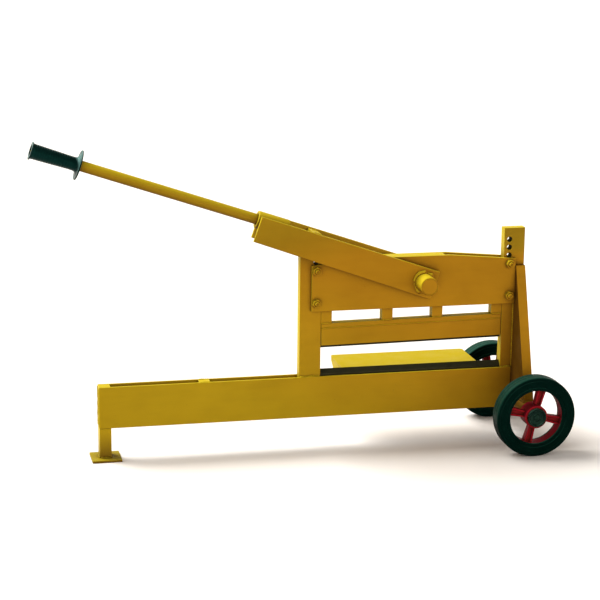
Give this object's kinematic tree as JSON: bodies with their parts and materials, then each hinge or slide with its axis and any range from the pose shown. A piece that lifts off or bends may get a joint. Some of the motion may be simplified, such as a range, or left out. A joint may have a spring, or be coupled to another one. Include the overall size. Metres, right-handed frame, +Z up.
{
  "type": "hand-lever block splitter",
  "caption": "Hand-lever splitter for paving blocks and tiles: wheeled beam frame, head on posts, cam lever with pole and grip, sliding upper blade above a fixed lower blade, table at the back.",
  "frame": {"origin": "on the floor, under the middle of the bounding box", "axes": "+X along the beam from the handle towards the wheels, +Z up; the table is on the +Y side"},
  "size_m": [1.3035, 0.39, 0.7776],
  "materials": {
    "yellow_paint": "satin, slightly worn sprayed enamel",
    "bright_yellow_paint": "satin enamel",
    "red_paint": "gloss",
    "tyre_rubber": "matt",
    "grip_plastic": "matt, dark green to black",
    "blade_steel": "dark ground steel",
    "bright_steel": "bare turned steel"
  },
  "bodies": {
    "frame": {"axle": "bright_steel", "axle_ring_back": "bright_steel", "axle_ring_front": "bright_steel", "axle_tube_back": "yellow_paint", "axle_tube_front": "yellow_paint", "beam_plate_back": "yellow_paint", "beam_plate_front": "yellow_paint", "beam_spacer": "yellow_paint", "blade_seat": "yellow_paint", "brace_back": "yellow_paint", "brace_front": "yellow_paint", "foot_plate": "yellow_paint", "front_leg": "yellow_paint", "head_bolt_1": "yellow_paint", "head_bolt_2": "yellow_paint", "head_bolt_3": "yellow_paint", "head_bolt_4": "yellow_paint", "head_nut_1": "yellow_paint", "head_nut_2": "yellow_paint", "head_nut_3": "yellow_paint", "head_nut_4": "yellow_paint", "head_plate_back": "yellow_paint", "head_plate_front": "yellow_paint", "head_top_spacer": "yellow_paint", "left_post": "yellow_paint", "lower_blade": "blade_steel", "pivot_bush_back": "yellow_paint", "pivot_bush_front": "yellow_paint", "return_spring_left": "bright_steel", "return_spring_right": "bright_steel", "right_post": "yellow_paint", "spring_hanger_left": "bright_steel", "spring_hanger_right": "bright_steel", "table_bracket_left": "bright_yellow_paint", "table_bracket_right": "bright_yellow_paint", "table_plate": "bright_yellow_paint"},
    "lever": {"lever_plate_front": "yellow_paint", "lever_plate_back": "yellow_paint", "lever_stop_bar": "yellow_paint", "socket_bar": "yellow_paint", "pivot_shaft": "yellow_paint", "lever_socket": "yellow_paint", "handle_pole": "yellow_paint", "handle_grip": "grip_plastic", "cam": "bright_steel"},
    "carrier": {"carrier_top_bar": "yellow_paint", "carrier_upright_1": "yellow_paint", "carrier_upright_2": "yellow_paint", "carrier_upright_3": "yellow_paint", "carrier_upright_4": "yellow_paint", "carrier_rail": "yellow_paint", "blade_holder": "yellow_paint", "upper_blade": "blade_steel"},
    "wheel_front": {"tyre_front": "tyre_rubber", "rim_front": "red_paint", "hub_cap_front": "grip_plastic"},
    "wheel_back": {"tyre_back": "tyre_rubber", "rim_back": "red_paint", "hub_cap_back": "grip_plastic"}
  },
  "joints": [
    {"name": "lever_hinge", "type": "hinge", "parent": "frame", "child": "lever", "pos_m": [0.30145, 0, 0.4149], "axis": [0, 1, 0], "range_deg": [0, 70]},
    {"name": "carrier_slide", "type": "slide", "parent": "frame", "child": "carrier", "axis": [0, 0, 1], "range_m": [0, 0.0245], "deforming": ["return_spring_left", "return_spring_right"]},
    {"name": "wheel_front_spin", "type": "hinge", "parent": "frame", "child": "wheel_front", "pos_m": [0.55175, -0.1675, 0.1], "axis": [0, 1, 0], "continuous": true},
    {"name": "wheel_back_spin", "type": "hinge", "parent": "frame", "child": "wheel_back", "pos_m": [0.55175, 0.1675, 0.1], "axis": [0, 1, 0], "continuous": true}
  ],
  "couplings": [
    {"joint": "carrier_slide", "follows": "lever_hinge", "m_per_rad": 0.02}
  ]
}
